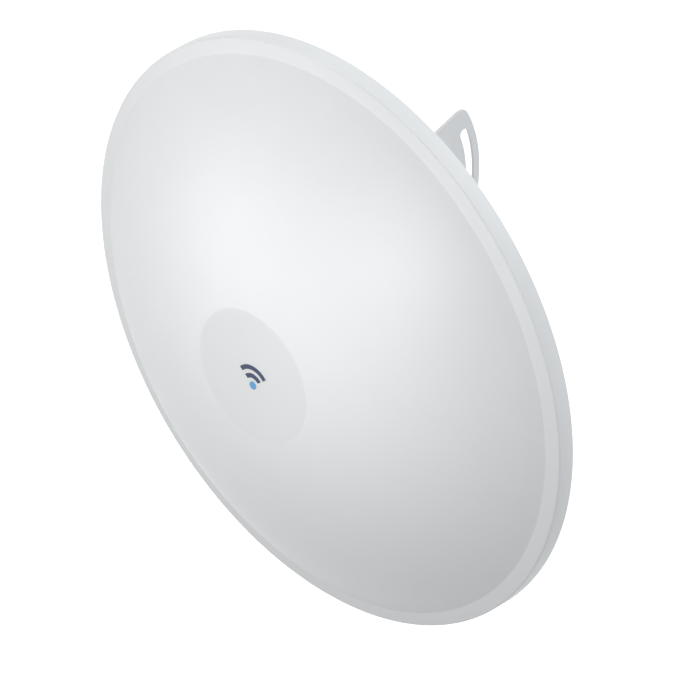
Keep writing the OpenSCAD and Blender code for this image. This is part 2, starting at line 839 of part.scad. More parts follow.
// Outline of the pole bracket's cheek: X back from the pole's axis, Y up
module cheek_outline() {
    web_front = -(web_y + clamp_t);
    difference() {
        union() {
            translate(pivot_row) circle(r = pivot_boss_r);
            translate(lock_row) circle(r = lock_boss_r);
            polygon([pivot_row + 0.9 * [-pivot_boss_r, 0], pivot_row + 0.9 * [0, pivot_boss_r],
                     lock_row + 0.9 * lock_boss_r * [sin(12), cos(12)],
                     lock_row + 0.9 * lock_boss_r * [cos(50), -sin(50)],
                     [pole_r + 6, -clamp_h / 2], [web_front, -clamp_h / 2],
                     [web_front, clamp_h / 2 - 4]]);
        }
        translate(pivot_row) circle(r = bolt_r + thread_gap);
        translate(lock_row) circle(r = bolt_r + thread_gap);
        translate([6, 14]) circle(r = 9);
    }
}

// Half of the clamp around the pole: a web and two lipped flanges, for y > 0
module jaw_channel() {
    half_h = clamp_h / 2;
    difference() {
        block([-jaw_half_w, jaw_gap / 2, -half_h], [jaw_half_w, web_y + clamp_t, half_h]);
        block([-jaw_half_w - 1, 0, -half_h + clamp_t], [jaw_half_w + 1, web_y, half_h - clamp_t]);
        translate([0, 0, -clamp_h]) cylinder(r = pole_r, h = 2 * clamp_h, $fn = 180);
    }
}

module clamp_bolt_holes(half) {
    for (side = [-1, 1]) translate([side * clamp_bolt_x, 0, 0])
        rod_y(half, web_y - 1, web_y + clamp_t + 1);
}

module pole_bracket() {
    web_front = -(web_y + clamp_t);
    color(white_paint) difference() {
        union() {
            rotate([0, 0, 180]) jaw_channel();
            side_sheet(cheek_out, clamp_t) cheek_outline();
            block([cheek_out + 1, web_front, -clamp_h / 2], [-jaw_half_w + 1, -web_y, clamp_h / 2]);
        }
        rotate([0, 0, 180]) clamp_bolt_holes(hole_r);
    }
}

module friction_washers() {
    color("#2f3336") for (p = [pivot_row, lock_row])
        translate([cheek_out - friction_t, p[0], p[1]]) rotate([0, 90, 0])
            washer(washer_r + 2, bolt_r + thread_gap, friction_t);
}

// A bolt through the quadrant and the cheek, at a point of X back and Y up
module at_tilt_bolt(p, x) {
    translate([x, p[0], p[1]]) rotate([0, 90, 0]) children();
}

module pivot_bolt() {
    color(zinc) at_tilt_bolt(pivot_row, washer_face) hex_bolt(bolt_r, head_af, head_h, tilt_bolt_len);
}

module lock_bolt() {
    color(zinc) at_tilt_bolt(lock_row, washer_face) hex_bolt(bolt_r, head_af, head_h, tilt_bolt_len);
}

module tilt_washers(p) {
    at_tilt_bolt(p, washer_face) washer(washer_r, bolt_r + thread_gap, washer_t);
    at_tilt_bolt(p, cheek_in) washer(washer_r, bolt_r + thread_gap, washer_t);
}

module pivot_washers() {
    color(zinc) tilt_washers(pivot_row);
}

module lock_washers() {
    color(zinc) tilt_washers(lock_row);
}

module pivot_nut() {
    color(zinc) at_tilt_bolt(pivot_row, nut_face) nut(bolt_r + thread_gap, head_af, nut_h);
}

module lock_nut() {
    color(zinc) at_tilt_bolt(lock_row, nut_face) nut(bolt_r + thread_gap, head_af, nut_h);
}

// ---- Pole clamp ----

module clamp_jaw() {
    color(white_paint) difference() {
        jaw_channel();
        for (side = [-1, 1]) translate([side * clamp_bolt_x, 0, 0])
            block([-bolt_r - 0.1, web_y - 1, -bolt_r - 0.1],
                  [bolt_r + 0.1, web_y + clamp_t + 1, bolt_r + 0.1]);
    }
}

module clamp_bolts() {
    color(zinc) for (side = [-1, 1])
        translate([side * clamp_bolt_x, web_y + clamp_t, 0]) rotate([90, 0, 0])
            carriage_bolt(bolt_r, carriage_head_r, bolt_r, clamp_t + 1.5,
                          web_y + clamp_t + clamp_bolt_end);
}

module clamp_washers() {
    color(zinc) for (side = [-1, 1])
        translate([side * clamp_bolt_x, -web_y - clamp_t, 0]) rotate([90, 0, 0])
            washer(washer_r, bolt_r + bolt_clear, washer_t);
}

module clamp_nuts() {
    color(zinc) for (side = [-1, 1])
        translate([side * clamp_bolt_x, -web_y - clamp_t - washer_t, 0]) rotate([90, 0, 0])
            nut(bolt_r + pivot_clear, head_af, nut_h);
}

radome_shell();
badge_arcs();
badge_dot();
rim_gasket();
radome_screws();
dish_reflector();
feed_tube();
feed_seal();
feed_cone();
sub_reflector();
sub_reflector_screw();
waveguide_transition();
rear_housing();
housing_screws();
radio_board();
board_screws();
shield_can();
thermal_pad();
ethernet_jack();
reset_switch();
reset_button();
led_light_pipes();
cover_seal();
rear_cover();
cover_screws();
vent_plug();
port_door();
door_pin();
dish_bracket();
bracket_bolts();
bracket_nuts();
ground_screw();
pole_bracket();
friction_washers();
pivot_bolt();
pivot_washers();
pivot_nut();
lock_bolt();
lock_washers();
lock_nut();
clamp_jaw();
clamp_bolts();
clamp_washers();
clamp_nuts();
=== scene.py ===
# Outdoor wireless bridge: the looks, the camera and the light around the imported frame.
# Lengths are metres in the frame's own axes: +Z is up along the pole, and the dish looks
# along -Y. Profiles are in millimetres: a radius, and a distance back from the rim's plane.
import json
import math

import bmesh
import bpy
from mathutils import Matrix, Vector

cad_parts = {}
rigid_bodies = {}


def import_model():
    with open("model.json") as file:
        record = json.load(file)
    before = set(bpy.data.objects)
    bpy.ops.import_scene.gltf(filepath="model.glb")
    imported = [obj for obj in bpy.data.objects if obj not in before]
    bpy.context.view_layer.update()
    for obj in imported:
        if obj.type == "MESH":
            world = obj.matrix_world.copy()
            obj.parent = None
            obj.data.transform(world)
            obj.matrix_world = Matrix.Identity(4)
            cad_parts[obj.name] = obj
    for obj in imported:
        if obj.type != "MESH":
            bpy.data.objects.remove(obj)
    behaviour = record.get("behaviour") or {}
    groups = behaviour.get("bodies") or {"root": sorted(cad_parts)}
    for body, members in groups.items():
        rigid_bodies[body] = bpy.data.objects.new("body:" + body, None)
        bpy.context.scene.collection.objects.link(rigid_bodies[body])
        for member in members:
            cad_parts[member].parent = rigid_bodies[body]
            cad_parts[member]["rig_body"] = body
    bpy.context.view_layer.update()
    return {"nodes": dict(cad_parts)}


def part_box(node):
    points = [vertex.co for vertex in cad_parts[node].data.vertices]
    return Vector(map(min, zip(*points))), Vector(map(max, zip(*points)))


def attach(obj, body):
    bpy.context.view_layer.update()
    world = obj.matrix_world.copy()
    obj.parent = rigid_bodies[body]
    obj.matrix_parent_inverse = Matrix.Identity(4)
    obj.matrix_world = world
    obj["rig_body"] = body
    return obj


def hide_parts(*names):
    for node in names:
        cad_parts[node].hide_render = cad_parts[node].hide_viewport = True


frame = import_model()
nodes = frame["nodes"]

MM = 0.001
TURN = 2 * math.pi

# The dish's axis, and the rim's plane in front of the skirt
SKIRT = 16
radome_lo, radome_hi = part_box("radome_shell")
dish_r = (radome_hi.x - radome_lo.x) / 2 / MM
rise = (radome_hi.y - radome_lo.y) / MM - SKIRT
rim_centre = Vector((
    (radome_lo.x + radome_hi.x) / 2,
    radome_hi.y - SKIRT * MM,
    (radome_lo.z + radome_hi.z) / 2,
))
BACKWARDS = Vector((0, 1, 0))
SIDEWAYS = Vector((1, 0, 0))

# The radome's flat disc, bevelled band and wall
FLAT_R = 60
RIM_W = 13
BAND_RISE = 3
WALL = 3

# The circles of the reflector's flange, its screws and the gasket, from the outside in
FLANGE_R = dish_r - WALL - 1
SCREW_CIRCLE = FLANGE_R - 5.5
SEAL_OUT = SCREW_CIRCLE - 5
SEAL_IN = SEAL_OUT - 6
APERTURE_R = SEAL_IN - 1.5
GASKET_T = 2

# The rib that presses on the gasket is narrower than it by this much on either side
SEAL_INSET = 1.5

# The reflector: the front faces of its flange and hub, and its sheet
FLANGE_Y = 10
SHEET = 2.4
HUB_R = 65
HUB_Y = 91
NECK_HOLE_R = 20


# ---- Camera ----

def add_camera():
    """A long lens that looks down on the dish from its right."""
    azimuth = math.radians(44.54)
    elevation = math.radians(34.92)
    lens = 1200
    sensor = 36
    view_width = 0.5645
    aim_right = 0.01765
    aim_down = 0.01396
    far_limit = 400
    back = Vector((
        math.sin(azimuth) * math.cos(elevation),
        -math.cos(azimuth) * math.cos(elevation),
        math.sin(elevation),
    ))
    right = Vector((math.cos(azimuth), math.sin(azimuth), 0))
    up = back.cross(right)
    aim = rim_centre + aim_right * right - aim_down * up
    data = bpy.data.cameras.new("camera")
    data.lens = lens
    data.sensor_width = sensor
    data.clip_end = far_limit
    camera = bpy.data.objects.new("camera", data)
    place = aim + back * (view_width * lens / sensor)
    camera.matrix_world = Matrix((right, up, back)).transposed().to_4x4()
    camera.location = place
    bpy.context.scene.collection.objects.link(camera)
    bpy.context.scene.camera = camera


# ---- Materials ----

def add_node(tree, kind, **settings):
    node = tree.nodes.new(kind)
    for name, value in settings.items():
        setattr(node, name, value)
    return node


def object_coords(tree, stretch=(1, 1, 1), origin=(0, 0, 0)):
    """Object coordinates measured from an origin, and stretched."""
    coords = add_node(tree, "ShaderNodeTexCoord")
    mapping = add_node(tree, "ShaderNodeMapping")
    mapping.inputs["Scale"].default_value = stretch
    mapping.inputs["Location"].default_value = [-o * s for o, s in zip(origin, stretch)]
    tree.links.new(coords.outputs["Object"], mapping.inputs["Vector"])
    return mapping.outputs["Vector"]


def noise(tree, scale, detail=3, stretch=(1, 1, 1)):
    texture = add_node(tree, "ShaderNodeTexNoise")
    texture.inputs["Scale"].default_value = scale
    texture.inputs["Detail"].default_value = detail
    tree.links.new(object_coords(tree, stretch), texture.inputs["Vector"])
    return texture.outputs["Fac"]


def turning_marks(tree, per_metre):
    """Turning marks around the dish's axis."""
    texture = add_node(tree, "ShaderNodeTexWave", wave_type="RINGS", rings_direction="Y")
    texture.inputs["Scale"].default_value = per_metre
    texture.inputs["Distortion"].default_value = 0.6
    tree.links.new(object_coords(tree, origin=rim_centre), texture.inputs["Vector"])
    return texture.outputs["Fac"]


def cells(tree, scale):
    texture = add_node(tree, "ShaderNodeTexVoronoi", feature="SMOOTH_F1")
    texture.inputs["Scale"].default_value = scale
    tree.links.new(object_coords(tree), texture.inputs["Vector"])
    return texture.outputs["Distance"]


def traces(tree):
    """Copper runs that show through solder mask."""
    texture = add_node(tree, "ShaderNodeTexBrick", offset=0.35, squash=0.6)
    texture.inputs["Scale"].default_value = 260
    texture.inputs["Mortar Size"].default_value = 0.03
    tree.links.new(object_coords(tree, (1, 0, 1)), texture.inputs["Vector"])
    return texture.outputs["Fac"]


def disc_painted_shade(tree, shader, radius, tone):
    """Paints shade into the colour: darkens it inside a radius, in metres, about the dish's axis."""
    blend = 0.6 * MM
    reach = add_node(tree, "ShaderNodeVectorMath", operation="LENGTH")
    tree.links.new(object_coords(tree, (1, 0, 1), rim_centre), reach.inputs[0])
    level = add_node(tree, "ShaderNodeMapRange")
    level.inputs["From Min"].default_value = radius - blend
    level.inputs["From Max"].default_value = radius + blend
    level.inputs["To Min"].default_value = tone
    tree.links.new(reach.outputs["Value"], level.inputs["Value"])
    shaded_colour = add_node(tree, "ShaderNodeVectorMath", operation="SCALE")
    tree.links.new(shader.inputs["Base Color"].links[0].from_socket, shaded_colour.inputs[0])
    tree.links.new(level.outputs["Result"], shaded_colour.inputs["Scale"])
    tree.links.new(shaded_colour.outputs["Vector"], shader.inputs["Base Color"])


def span(tree, value, low, high):
    """Maps a pattern's middle half to low..high: numbers, or colours of three numbers."""
    ramp = add_node(tree, "ShaderNodeValToRGB")
    tree.links.new(value, ramp.inputs["Fac"])
    for stop, place, level in zip(ramp.color_ramp.elements, (0.25, 0.75), (low, high)):
        stop.position = place
        colour = level if isinstance(level, (tuple, list)) else (level,) * 3
        stop.color = (*colour, 1)
    return ramp.outputs["Color"]


def add_bump(tree, shader, height, depth):
    """Adds relief of a depth in metres, on top of what the shader already has."""
    bump = add_node(tree, "ShaderNodeBump")
    bump.inputs["Distance"].default_value = depth
    earlier = [link.from_socket for link in shader.inputs["Normal"].links]
    if earlier:
        tree.links.new(earlier[0], bump.inputs["Normal"])
    tree.links.new(height, bump.inputs["Height"])
    tree.links.new(bump.outputs["Normal"], shader.inputs["Normal"])


def finish(slot, colour, tone, patch, roughness, grain, depth, **sockets):
    """A procedural finish: its colour drifts by tone over patches of so many to the metre, its
    roughness drifts between two values, and its grain, so many to the metre, has a depth."""
    material = bpy.data.materials.new(slot + "_look")
    material.use_nodes = True
    tree = material.node_tree
    shader = tree.nodes["Principled BSDF"]
    for name, value in sockets.items():
        shader.inputs[name.replace("_", " ")].default_value = value
    darker = tuple(c * (1 - tone) for c in colour)
    lighter = tuple(min(1, c * (1 + tone)) for c in colour)
    drift = span(tree, noise(tree, patch), darker, lighter)
    tree.links.new(drift, shader.inputs["Base Color"])
    tree.links.new(span(tree, noise(tree, patch * 4), *roughness), shader.inputs["Roughness"])
    add_bump(tree, shader, noise(tree, grain, 2), depth)
    return material, tree, shader


def make_materials():
    """One material for each of the record's slots."""
    made = {}
    for slot, colour, tone, rough, grain, depth in (
        ("radome_plastic", (0.90, 0.91, 0.915), 0.006, (0.40, 0.48), 1500, 8e-6),
        ("housing_plastic", (0.87, 0.88, 0.885), 0.008, (0.44, 0.54), 1700, 3e-5),
        ("badge_navy", (0.016, 0.030, 0.095), 0.06, (0.32, 0.40), 2600, 6e-6),
        ("badge_blue", (0.095, 0.36, 0.68), 0.05, (0.32, 0.40), 2600, 6e-6),
        ("black_plastic", (0.018, 0.020, 0.022), 0.10, (0.42, 0.55), 2200, 2e-5),
        ("button_plastic", (0.035, 0.042, 0.052), 0.08, (0.40, 0.50), 2200, 2e-5),
        ("feed_dielectric", (0.82, 0.82, 0.77), 0.015, (0.38, 0.46), 2400, 8e-6),
        ("seal_rubber", (0.012, 0.012, 0.013), 0.12, (0.66, 0.80), 1800, 3e-5),
        ("thermal_pad", (0.22, 0.32, 0.38), 0.05, (0.70, 0.80), 1600, 4e-5),
        ("circuit_board", (0.012, 0.105, 0.052), 0.08, (0.26, 0.36), 900, 8e-6),
        ("clear_plastic", (0.80, 0.90, 0.96), 0.01, (0.06, 0.12), 900, 4e-6),
    ):
        made[slot] = finish(slot, colour, tone, 30, rough, grain, depth, IOR=1.5)
    for slot, colour in (
        ("reflector_paint", (0.84, 0.85, 0.855)),
        ("cover_paint", (0.82, 0.83, 0.835)),
        ("bracket_paint", (0.84, 0.85, 0.86)),
    ):
        made[slot] = finish(slot, colour, 0.012, 45, (0.42, 0.52), 3000, 1.2e-5, IOR=1.5)
        tree, shader = made[slot][1:]
        add_bump(tree, shader, noise(tree, 520, 1), 2.5e-5)
    for slot, colour, rough in (
        ("zinc_fasteners", (0.66, 0.68, 0.70), (0.22, 0.36)),
        ("feed_aluminium", (0.78, 0.79, 0.80), (0.24, 0.34)),
        ("tinned_sheet", (0.70, 0.71, 0.71), (0.20, 0.32)),
        ("ground_brass", (0.72, 0.50, 0.20), (0.22, 0.34)),
    ):
        made[slot] = finish(slot, colour, 0.07, 160, rough, 2600, 6e-6, Metallic=1.0)

    for slot, depth, per_metre in (
        ("reflector_paint", 3e-5, 40),
        ("feed_aluminium", 1.2e-5, 620),
        ("feed_dielectric", 1e-5, 500),
    ):
        tree, shader = made[slot][1:]
        add_bump(tree, shader, turning_marks(tree, per_metre), depth)
    # Painted shade: the radome's flat disc is 7% darker, standing in for the shading its flat face
    # gets under this light
    disc_painted_shade(*made["radome_plastic"][1:], FLAT_R * MM, 0.93)
    tree, shader = made["housing_plastic"][1:]
    add_bump(tree, shader, cells(tree, 1300), 2.5e-5)
    tree, shader = made["tinned_sheet"][1:]
    add_bump(tree, shader, noise(tree, 300, 4, (1, 1, 30)), 6e-6)
    tree, shader = made["circuit_board"][1:]
    bare_mask = (0.012, 0.105, 0.052)
    mask_on_copper = (0.03, 0.20, 0.10)
    copper = span(tree, traces(tree), bare_mask, mask_on_copper)
    tree.links.new(copper, shader.inputs["Base Color"])
    add_bump(tree, shader, traces(tree), 3e-5)
    shader = made["clear_plastic"][2]
    shader.inputs["Transmission Weight"].default_value = 0.85
    shader = made["feed_dielectric"][2]
    shader.inputs["Subsurface Weight"].default_value = 0.25
    shader.inputs["Subsurface Scale"].default_value = 0.003
    shader = made["seal_rubber"][2]
    shader.inputs["Sheen Weight"].default_value = 0.15
    return {slot: parts[0] for slot, parts in made.items()}


# ---- Mesh helpers ----

def sharp_smooth(mesh, angle):
    mesh.polygons.foreach_set("use_smooth", [True] * len(mesh.polygons))
    mesh.set_sharp_from_angle(angle=math.radians(angle))


class Build:
    """Collects closed lofts and turns them into one piece that replaces a CAD node."""

    def __init__(self):
        self.points = []
        self.faces = []

    def loft(self, origin, axis, rings, loop=False, sides=48):
        """Skins rings of (radius rule, height) about a level axis: the rule gives a radius in mm
        at an angle and a height, and the height in mm runs along the axis from the origin."""
        across = Vector((0, 0, 1)).cross(axis).normalized()
        side = axis.cross(across).normalized()
        base = len(self.points)
        for rule, height in rings:
            for i in range(sides):
                angle = TURN * i / sides
                r = rule(angle, height) * MM
                spoke = across * math.cos(angle) + side * math.sin(angle)
                self.points.append(origin + axis * height * MM + spoke * r)
        count = len(rings)
        for k in range(count if loop else count - 1):
            low = base + k * sides
            high = base + (k + 1) % count * sides
            for i in range(sides):
                j = (i + 1) % sides
                self.faces.append((low + i, low + j, high + j, high + i))
        if not loop:
            self.faces.append(tuple(base + i for i in reversed(range(sides))))
            top = base + (count - 1) * sides
            self.faces.append(tuple(top + i for i in range(sides)))

    def turn(self, origin, axis, profile, sides, loop=True):
        """Turns a profile of (radius, height) points about an axis."""
        self.loft(origin, axis, [(circle(r), h) for r, h in profile], loop, sides)

    def piece(self, name, node, angle=32):
        mesh = bpy.data.meshes.new(name)
        mesh.from_pydata(self.points, [], self.faces)
        mesh.update()
        face_outwards(mesh)
        sharp_smooth(mesh, angle)
        obj = bpy.data.objects.new(name, mesh)
        bpy.context.scene.collection.objects.link(obj)
        slot = nodes[node].material_slots[0].material.name
        mesh.materials.append(materials[slot])
        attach(obj, nodes[node]["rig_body"])
        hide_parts(node)


def face_outwards(mesh):
    work = bmesh.new()
    work.from_mesh(mesh)
    bmesh.ops.recalc_face_normals(work, faces=work.faces)
    work.to_mesh(mesh)
    work.free()


def circle(radius):
    return lambda angle, height: radius


def polygon(half_width, sides):
    """A regular polygon of a given half width across its flats."""
    part = TURN / sides
    return lambda angle, height: half_width / math.cos((angle + part / 2) % part - part / 2)


def smaller(*rules):
    return lambda angle, height: min(rule(angle, height) for rule in rules)


def cone(radius, height, slope):
    """A radius at a height that grows by slope with each mm further up."""
    return lambda angle, h: radius + slope * (h - height)


def thread(radius, pitch, start, end):
    """A V thread on a shank that fades out at both of its ends."""
    depth = 0.61 * pitch

    def rule(angle, height):
        turn = (height / pitch - angle / TURN) % 1
        groove = 1 - abs(2 * turn - 1)
        fade = min(1, max(0, (height - start) / pitch), max(0, (end - height) / pitch))
        return radius - depth * fade * groove

    return rule


def rounded(corners, steps=6):
    """Rounds a closed or open outline: each corner is (x, y, radius of its rounding)."""
    outline = []
    count = len(corners)
    for i, (x, y, radius) in enumerate(corners):
        here = Vector((x, y))
        before = Vector(corners[i - 1][:2]) - here
        after = Vector(corners[(i + 1) % count][:2]) - here
        bend = math.pi - before.angle(after) if radius else 0
        if bend < 0.01:
            outline.append((x, y))
            continue
        reach = radius * math.tan(bend / 2)
        start = here + before.normalized() * reach
        end = here + after.normalized() * reach
        middle = (before.normalized() + after.normalized()).normalized()
        centre = here + middle * math.hypot(radius, reach)
        first = start - centre
        last = end - centre
        for k in range(steps + 1):
            share = k / steps
            sweep = first.angle(last)
            mix = (first * math.sin((1 - share) * sweep) + last * math.sin(share * sweep))
            outline.append(tuple(centre + mix / math.sin(sweep)))
    return outline


# ---- Radome, gasket and reflector ----

# A solid turned piece starts this far from its axis
NEAR_AXIS = 0.01


def dome_arc(inset, r_from, r_to, steps):
    """Points on the dome's sphere, moved inwards by inset."""
    dome_r = dish_r - RIM_W
    dome_h = rise - BAND_RISE
    centre = (dome_r ** 2 - FLAT_R ** 2 - dome_h ** 2) / (2 * dome_h)
    sphere = math.hypot(dome_r, centre) - inset
    radii = [r_from + (r_to - r_from) * i / steps for i in range(steps + 1)]
    return [(r, centre - BAND_RISE - math.sqrt(sphere ** 2 - r ** 2), 0) for r in radii]


def radome_profile():
    """The moulding's section: out over the dome to the skirt, then back along its inside."""
    gasket_front = FLANGE_Y - GASKET_T
    disc_edge = FLAT_R - 8
    rib_in = SEAL_IN + SEAL_INSET
    rib_out = SEAL_OUT - SEAL_INSET
    outer = dome_arc(0, FLAT_R, dish_r - RIM_W, 72)
    outer[0] = (*outer[0][:2], 16)
    outer[-1] = (*outer[-1][:2], 3)
    inner = dome_arc(WALL, rib_in, FLAT_R, 48)
    inner[0] = (*inner[0][:2], 1)
    inner[-1] = (*inner[-1][:2], 12)
    corner = dome_arc(WALL, rib_out, dish_r - RIM_W - 1.2, 2)
    edge = dish_r - WALL
    return rounded(
        [(NEAR_AXIS, -rise, 0), (disc_edge, -rise, 0)] + outer
        + [(dish_r, 0, 1.6), (dish_r, SKIRT, 0.7), (edge, SKIRT, 0.7), (edge, 0.9 * WALL, 1)]
        + [corner[2], corner[1], (rib_out, corner[0][1], 1)]
        + [(rib_out, gasket_front, 0.4), (rib_in, gasket_front, 0.4)] + inner
        + [(disc_edge, WALL - rise, 0), (NEAR_AXIS, WALL - rise, 0)])


def make_radome():
    work = Build()
    work.turn(rim_centre, BACKWARDS, radome_profile(), 360, loop=False)
    boss_r = 4.5
    root = -0.5
    bore = M4_R + BORE_GAP
    boss = rounded([(boss_r, root, 0), (boss_r, FLANGE_Y, 0.3), (bore, FLANGE_Y, 0.3),
                    (bore, 1.5, 0.2), (NEAR_AXIS, 1, 0), (NEAR_AXIS, root, 0)])
    for spoke in spokes(8):
        work.turn(rim_centre + spoke * SCREW_CIRCLE * MM, BACKWARDS, boss, 36, loop=False)
    work.piece("radome_moulding", "radome_shell", 40)


def spokes(count):
    """Directions around the dish's axis, from +X towards -Z."""
    angles = [TURN * i / count for i in range(count)]
    return [Vector((math.cos(a), 0, -math.sin(a))) for a in angles]


def make_gasket():
    front = FLANGE_Y - GASKET_T
    section = rounded([(SEAL_IN, front, 0.6), (SEAL_OUT, front, 0.6),
                       (SEAL_OUT, FLANGE_Y, 0.3), (SEAL_IN, FLANGE_Y, 0.3)])
    work = Build()
    work.turn(rim_centre, BACKWARDS, section, 240)
    work.piece("rim_gasket_ring", "rim_gasket")


def make_reflector():
    focal = (APERTURE_R ** 2 - HUB_R ** 2) / (4 * (HUB_Y - FLANGE_Y))
    steps = 64
    radii = [HUB_R + (APERTURE_R - HUB_R) * i / steps for i in range(steps + 1)]
    front = [(r, HUB_Y - (r * r - HUB_R ** 2) / (4 * focal), 0) for r in radii]
    front[0] = (*front[0][:2], 8)
    front[-1] = (*front[-1][:2], 4)
    back = [(r, y + SHEET, radius) for r, y, radius in reversed(front)]
    section = rounded(
        [(NECK_HOLE_R, HUB_Y, 0.4)] + front
        + [(FLANGE_R, FLANGE_Y, 0.9), (FLANGE_R, FLANGE_Y + SHEET, 0.9)]
        + back + [(NECK_HOLE_R, HUB_Y + SHEET, 0.4)])
    work = Build()
    work.turn(rim_centre, BACKWARDS, section, 300)
    work.piece("spun_reflector", "dish_reflector", 40)


# ---- Fasteners ----

# A head or nut is chamfered at 30 degrees: its cone grows this much with each mm of height
CHAMFER = 1.7

# The gap between a bolt's shank and the bore of its nut
BORE_GAP = 0.05

M8_R = 4
M8_ACROSS = 13
M8_WASHER_R = 8
M6_R = 3
M6_ACROSS = 10
M4_R = 2
M4_PAN = dict(radius=M4_R, head_r=4, head=2.4, pitch=0.7)
M3_PAN = dict(radius=1.5, head_r=2.9, head=1.8, pitch=0.5)


def thread_rings(radius, pitch, start, end, per_pitch=8):
    """Rings for a threaded shank with a chamfered tip, its heights measured from the seat."""
    step = pitch / per_pitch
    count = math.ceil((end - start) / step)
    tip = cone(radius, end - 0.8, -0.8)
    rule = smaller(thread(radius, pitch, start, end - 0.3), tip)
    return [(rule, start + (end - start) * i / count) for i in range(count + 1)]


def hex_bolt(work, seat, axis, radius, across, head, length):
    """A hexagon bolt whose head stands behind its seat."""
    half = across / 2
    coarse_pitch = 1.25
    flats = polygon(half, 6)
    crown = smaller(flats, cone(half - 0.2, -head, CHAMFER))
    top = smaller(flats, cone(half - 0.5, -head, 3))
    stack = [(circle(half - 1.2), -head + 0.15), (circle(half - 0.9), -head)]
    stack += [(top, -head + 0.02), (crown, -head + 0.12)]
    stack += [(crown, -head + h) for h in (0.3, 0.5, 0.7, 0.9, 1.1)]
    stack += [(flats, -head + 1.4), (flats, -0.25), (circle(half - 0.1), -0.15)]
    stack += [(circle(half - 0.3), 0), (circle(radius + 0.05), 0), (circle(radius), 0.3)]
    stack += thread_rings(radius, coarse_pitch, 2, length)
    work.loft(seat, axis, stack)


def carriage_bolt(work, seat, axis, radius, head_r, head, neck, length, pitch):
    """A carriage bolt: a domed head behind its seat, a square neck and a threaded shank."""
    ball = (head_r ** 2 + head ** 2) / (2 * head)
    stack = []
    steps = 10
    for i in range(1, steps + 1):
        r = (head_r - 0.5) * i / steps
        stack.append((circle(r), ball - head - math.sqrt(ball ** 2 - r ** 2)))
    stack += [(circle(head_r - 0.3), -0.45), (circle(head_r - 0.3), -0.1)]
    stack += [(circle(head_r - 0.5), 0)]
    square = smaller(polygon(radius, 4), circle(radius * 1.36))
    stack += [(square, 0), (square, neck - 0.4), (smaller(square, circle(radius)), neck)]
    stack += thread_rings(radius, pitch, neck + 1.5, length)
    work.loft(seat, axis, stack)


def pan_screw(work, seat, axis, radius, head_r, head, length, pitch):
    """A pan-head screw with a hexagon socket in its head."""
    socket = polygon(radius * 0.65, 6)
    floor = -head * 0.4
    shoulder = 0.8
    shoulder_r = head_r - shoulder
    steps = 6
    stack = [(circle(0.05), floor + 0.25), (socket, floor), (socket, -head + 0.12)]
    stack += [(circle(radius * 0.75), -head), (circle(head_r - 1.1), -head)]
    for i in range(steps + 1):
        angle = TURN / 4 * i / steps
        r = shoulder_r + shoulder * math.sin(angle)
        stack.append((circle(r), -head + shoulder - shoulder * math.cos(angle)))
    stack += [(circle(head_r), -0.15), (circle(head_r - 0.15), 0), (circle(radius), 0)]
    stack += thread_rings(radius, pitch, 0.6, length, 6)
    work.loft(seat, axis, stack, sides=36)


def nut(work, seat, axis, radius, across, height):
    """A hexagon nut that stands on its seat, chamfered on both faces."""
    half = across / 2
    countersink = 0.5
    chamfer_heights = (0.05, 0.3, 0.6, 0.9, 1.2)
    flats = polygon(half, 6)
    low = smaller(flats, cone(half - 0.2, 0, CHAMFER))
    high = smaller(flats, cone(half - 0.2, height, -CHAMFER))
    mouth = circle(radius + countersink)
    face = circle(half - 0.5)
    stack = [(circle(radius), countersink), (mouth, 0), (face, 0)]
    stack += [(low, h) for h in chamfer_heights]
    stack += [(high, height - h) for h in reversed(chamfer_heights)]
    stack += [(face, height), (mouth, height), (circle(radius), height - countersink)]
    work.loft(seat, axis, stack, loop=True)


def washer(work, seat, axis, bore, radius, height):
    corners = [(bore, 0, 0.12), (radius, 0, 0.25), (radius, height, 0.35), (bore, height, 0.12)]
    work.turn(seat, axis, rounded(corners, 3), 64)


def make_tilt_fasteners():
    """The pivot's and the lock's bolt, washers and nut, along +X through the two plates."""
    head = 5.3
    washer_t = 1.6
    for name in ("pivot", "lock"):
        lo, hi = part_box(name + "_bolt")
        middle = (lo + hi) / 2
        seat = Vector((lo.x + head * MM, middle.y, middle.z))
        work = Build()
        hex_bolt(work, seat, SIDEWAYS, M8_R, M8_ACROSS, head, (hi.x - seat.x) / MM)
        work.piece(name + "_hex_bolt", name + "_bolt")
        nut_lo, nut_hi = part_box(name + "_nut")
        work = Build()
        place = Vector((nut_lo.x, middle.y, middle.z))
        nut(work, place, SIDEWAYS, M8_R + BORE_GAP, M8_ACROSS, (nut_hi.x - nut_lo.x) / MM)
        work.piece(name + "_hex_nut", name + "_nut")
        work = Build()
        for x in (seat.x, nut_lo.x - washer_t * MM):
            washer(work, Vector((x, middle.y, middle.z)), SIDEWAYS, M8_R + 0.06, M8_WASHER_R, washer_t)
        work.piece(name + "_flat_washers", name + "_washers")


def make_clamp_fasteners():
    """The two long carriage bolts, which run forward through both jaws."""
    lo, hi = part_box("clamp_bolts")
    jaw_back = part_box("clamp_jaw")[1].y
    head_r = 9.5
    reach = (hi.x - lo.x) / 2 / MM - head_r + 0.3
    forward = -BACKWARDS
    bolts, nuts, washers = Build(), Build(), Build()
    washer_lo, washer_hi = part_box("clamp_washers")
    nut_lo, nut_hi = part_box("clamp_nuts")
    for side in (-1, 1):
        x = side * reach * MM
        carriage_bolt(bolts, Vector((x, jaw_back, 0)), forward, M8_R, head_r, (hi.y - jaw_back) / MM,
                      4.5, (jaw_back - lo.y) / MM, 1.25)
        thick = (washer_hi.y - washer_lo.y) / MM
        washer(washers, Vector((x, washer_hi.y, 0)), forward, M8_R + 0.5, M8_WASHER_R, thick)
        height = (nut_hi.y - nut_lo.y) / MM
        nut(nuts, Vector((x, nut_hi.y, 0)), forward, M8_R + BORE_GAP, M8_ACROSS, height)
    bolts.piece("clamp_carriage_bolts", "clamp_bolts")
    washers.piece("clamp_flat_washers", "clamp_washers")
    nuts.piece("clamp_hex_nuts", "clamp_nuts")


